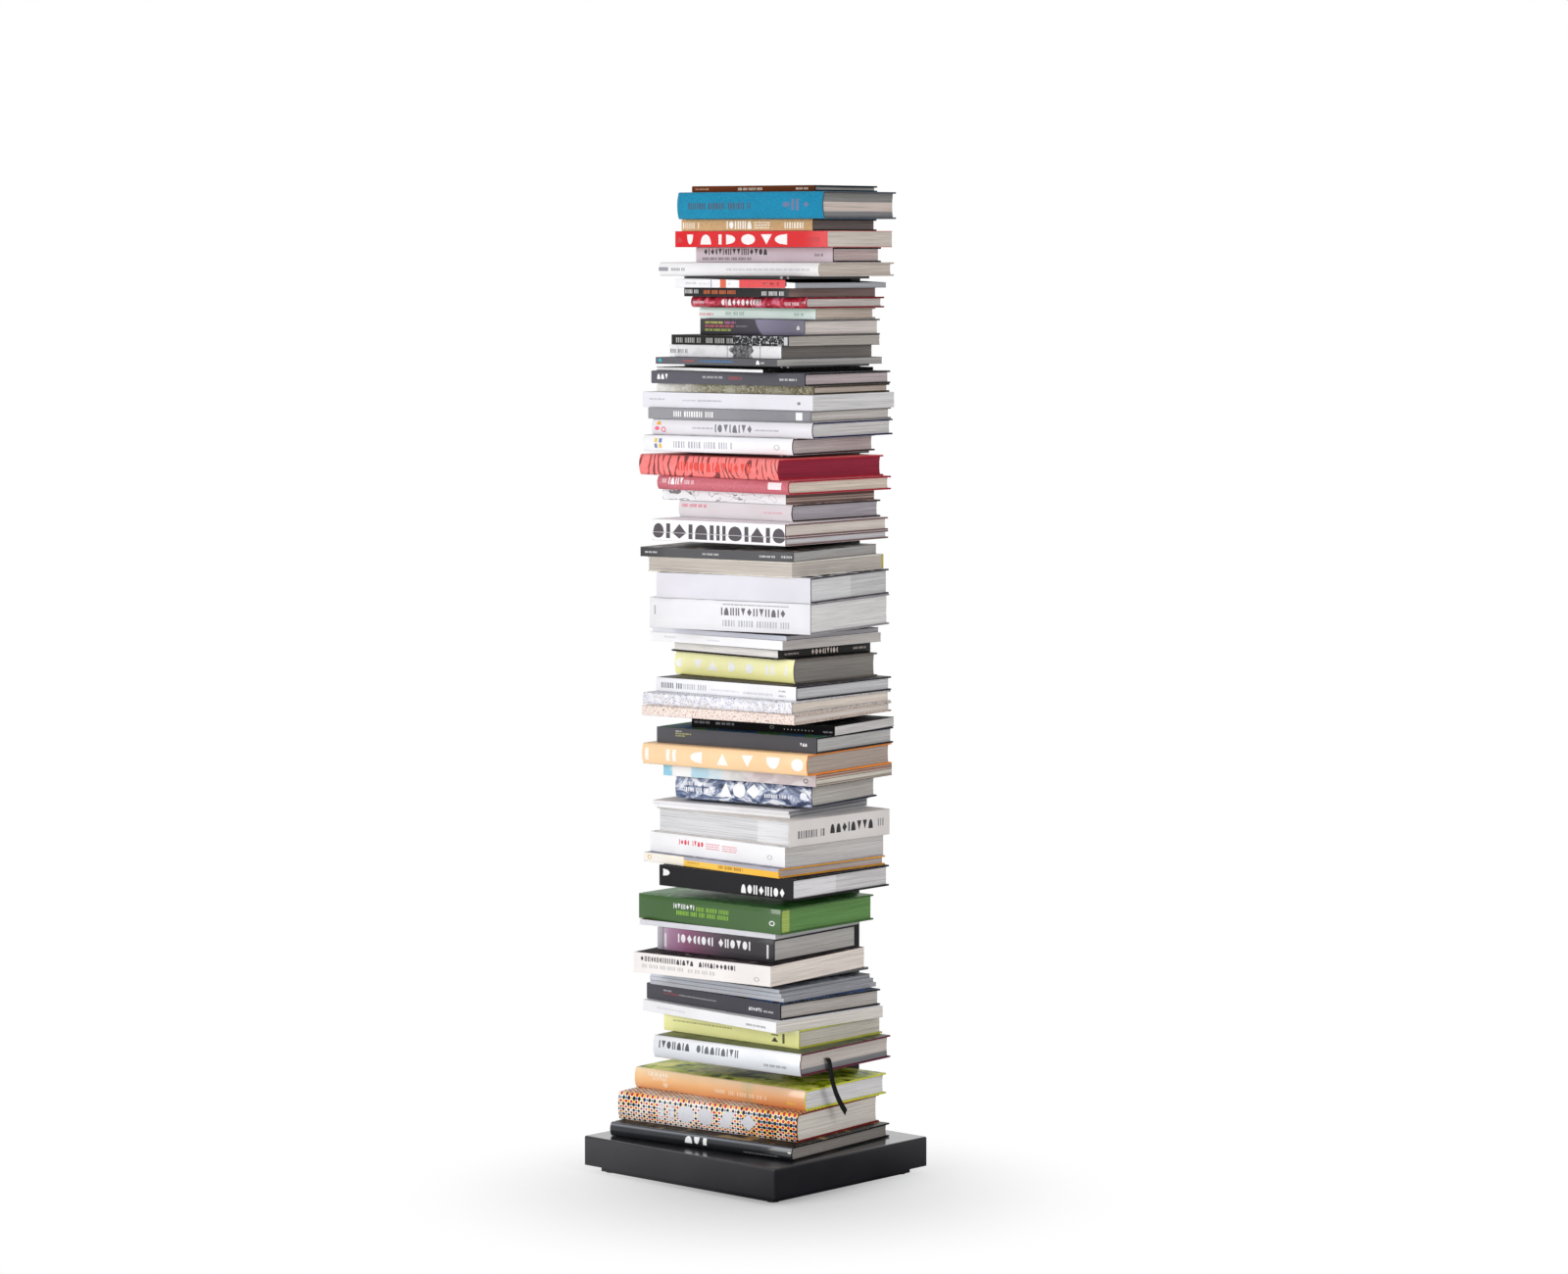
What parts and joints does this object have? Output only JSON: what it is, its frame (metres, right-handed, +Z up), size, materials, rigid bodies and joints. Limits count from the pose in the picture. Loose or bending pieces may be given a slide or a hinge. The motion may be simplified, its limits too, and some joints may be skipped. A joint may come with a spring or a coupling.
{
  "type": "spine bookcase",
  "caption": "Free-standing spine bookcase: a slim steel column on a low square base, with small hidden shelves that carry stacks of books lying flat.",
  "frame": {"origin": "middle of the base, on the floor", "axes": "+Z up along the column, -Y towards the front with the book spines, +X to the viewer's right with the page ends; the column is at +Y"},
  "size_m": [0.42, 0.37, 1.6023],
  "materials": {
    "black_lacquer": "satin",
    "ballast_steel": "hot rolled",
    "screw_steel": "blackened",
    "pads": "matte",
    "ribbon": "woven satin",
    "black_gloss_book": "printed cover over pages",
    "dotted_book": "printed cover over pages",
    "orange_book": "printed cover over pages",
    "silver_book": "printed cover over pages",
    "lime_and_white_books": "printed cover over pages",
    "charcoal_book": "printed cover over pages",
    "grey_magazines": "printed cover over pages",
    "off_white_book": "printed cover over pages",
    "purple_grey_book": "printed cover over pages",
    "green_and_thin_books": "printed cover over pages",
    "dark_slate_book": "printed cover over pages",
    "amber_and_rose_books": "printed cover over pages",
    "report_and_journals": "printed cover over pages",
    "cloudy_blue_book": "printed cover over pages",
    "striped_book": "printed cover over pages",
    "apricot_book": "printed cover over pages",
    "graphite_and_black_books": "printed cover over pages",
    "peach_and_speckled_books": "printed cover over pages",
    "tall_white_book": "printed cover over pages",
    "lemon_book": "printed cover over pages",
    "black_white_and_thin_books": "printed cover over pages",
    "thick_white_book": "printed cover over pages",
    "lilac_book": "printed cover over pages",
    "olive_book_and_magazine": "printed cover over pages",
    "two_volume_set": "printed cover over pages",
    "warm_grey_and_sketch_books": "printed cover over pages",
    "crimson_book": "printed cover over pages",
    "salmon_book": "printed cover over pages",
    "pale_book": "printed cover over pages",
    "navy_and_grey_books": "printed cover over pages",
    "white_and_khaki_books": "printed cover over pages",
    "dark_grey_and_thin_books": "printed cover over pages",
    "grey_paperbacks": "printed cover over pages",
    "slate_and_mint_books": "printed cover over pages",
    "raspberry_and_black_books": "printed cover over pages",
    "white_and_lilac_books": "printed cover over pages",
    "red_and_tan_books": "printed cover over pages",
    "blue_and_brown_books": "printed cover over pages"
  },
  "bodies": {
    "frame": {"glide_pads": "pads", "plinth": "black_lacquer", "ballast_plate": "ballast_steel", "base_ribs": "ballast_steel", "base_cover": "black_lacquer", "column_foot": "black_lacquer", "foot_bolts": "screw_steel", "column": "black_lacquer", "column_cap": "black_lacquer", "shelf_01": "black_lacquer", "shelf_02": "black_lacquer", "shelf_03": "black_lacquer", "shelf_04": "black_lacquer", "shelf_05": "black_lacquer", "shelf_06": "black_lacquer", "shelf_07": "black_lacquer", "shelf_08": "black_lacquer", "shelf_09": "black_lacquer", "shelf_10": "black_lacquer"},
    "bay_00_books": {"black_gloss_book": "black_gloss_book", "dotted_book": "dotted_book", "orange_book": "orange_book"},
    "bay_01_books": {"silver_book": "silver_book", "lime_and_white_books": "lime_and_white_books", "charcoal_book": "charcoal_book", "grey_magazines": "grey_magazines", "ribbon_marker": "ribbon"},
    "bay_02_books": {"off_white_book": "off_white_book", "purple_grey_book": "purple_grey_book", "green_and_thin_books": "green_and_thin_books"},
    "bay_03_books": {"dark_slate_book": "dark_slate_book", "amber_and_rose_books": "amber_and_rose_books", "report_and_journals": "report_and_journals"},
    "bay_04_books": {"cloudy_blue_book": "cloudy_blue_book", "striped_book": "striped_book", "apricot_book": "apricot_book", "graphite_and_black_books": "graphite_and_black_books"},
    "bay_05_books": {"peach_and_speckled_books": "peach_and_speckled_books", "tall_white_book": "tall_white_book", "lemon_book": "lemon_book", "black_white_and_thin_books": "black_white_and_thin_books"},
    "bay_06_books": {"thick_white_book": "thick_white_book", "lilac_book": "lilac_book", "olive_book_and_magazine": "olive_book_and_magazine"},
    "bay_07_books": {"two_volume_set": "two_volume_set", "warm_grey_and_sketch_books": "warm_grey_and_sketch_books", "crimson_book": "crimson_book", "salmon_book": "salmon_book"},
    "bay_08_books": {"pale_book": "pale_book", "navy_and_grey_books": "navy_and_grey_books", "white_and_khaki_books": "white_and_khaki_books", "dark_grey_and_thin_books": "dark_grey_and_thin_books"},
    "bay_09_books": {"grey_paperbacks": "grey_paperbacks", "slate_and_mint_books": "slate_and_mint_books", "raspberry_and_black_books": "raspberry_and_black_books"},
    "bay_10_books": {"white_and_lilac_books": "white_and_lilac_books", "red_and_tan_books": "red_and_tan_books", "blue_and_brown_books": "blue_and_brown_books"}
  },
  "joints": [
    {"name": "bay_00_draw", "type": "slide", "parent": "frame", "child": "bay_00_books", "axis": [0, -1, 0], "range_m": [0, 0.3]},
    {"name": "bay_01_draw", "type": "slide", "parent": "frame", "child": "bay_01_books", "axis": [0, -1, 0], "range_m": [0, 0.3]},
    {"name": "bay_02_draw", "type": "slide", "parent": "frame", "child": "bay_02_books", "axis": [0, -1, 0], "range_m": [0, 0.3]},
    {"name": "bay_03_draw", "type": "slide", "parent": "frame", "child": "bay_03_books", "axis": [0, -1, 0], "range_m": [0, 0.3]},
    {"name": "bay_04_draw", "type": "slide", "parent": "frame", "child": "bay_04_books", "axis": [0, -1, 0], "range_m": [0, 0.3]},
    {"name": "bay_05_draw", "type": "slide", "parent": "frame", "child": "bay_05_books", "axis": [0, -1, 0], "range_m": [0, 0.3]},
    {"name": "bay_06_draw", "type": "slide", "parent": "frame", "child": "bay_06_books", "axis": [0, -1, 0], "range_m": [0, 0.3]},
    {"name": "bay_07_draw", "type": "slide", "parent": "frame", "child": "bay_07_books", "axis": [0, -1, 0], "range_m": [0, 0.3]},
    {"name": "bay_08_draw", "type": "slide", "parent": "frame", "child": "bay_08_books", "axis": [0, -1, 0], "range_m": [0, 0.3]},
    {"name": "bay_09_draw", "type": "slide", "parent": "frame", "child": "bay_09_books", "axis": [0, -1, 0], "range_m": [0, 0.3]},
    {"name": "bay_10_draw", "type": "slide", "parent": "frame", "child": "bay_10_books", "axis": [0, -1, 0], "range_m": [0, 0.3]}
  ]
}
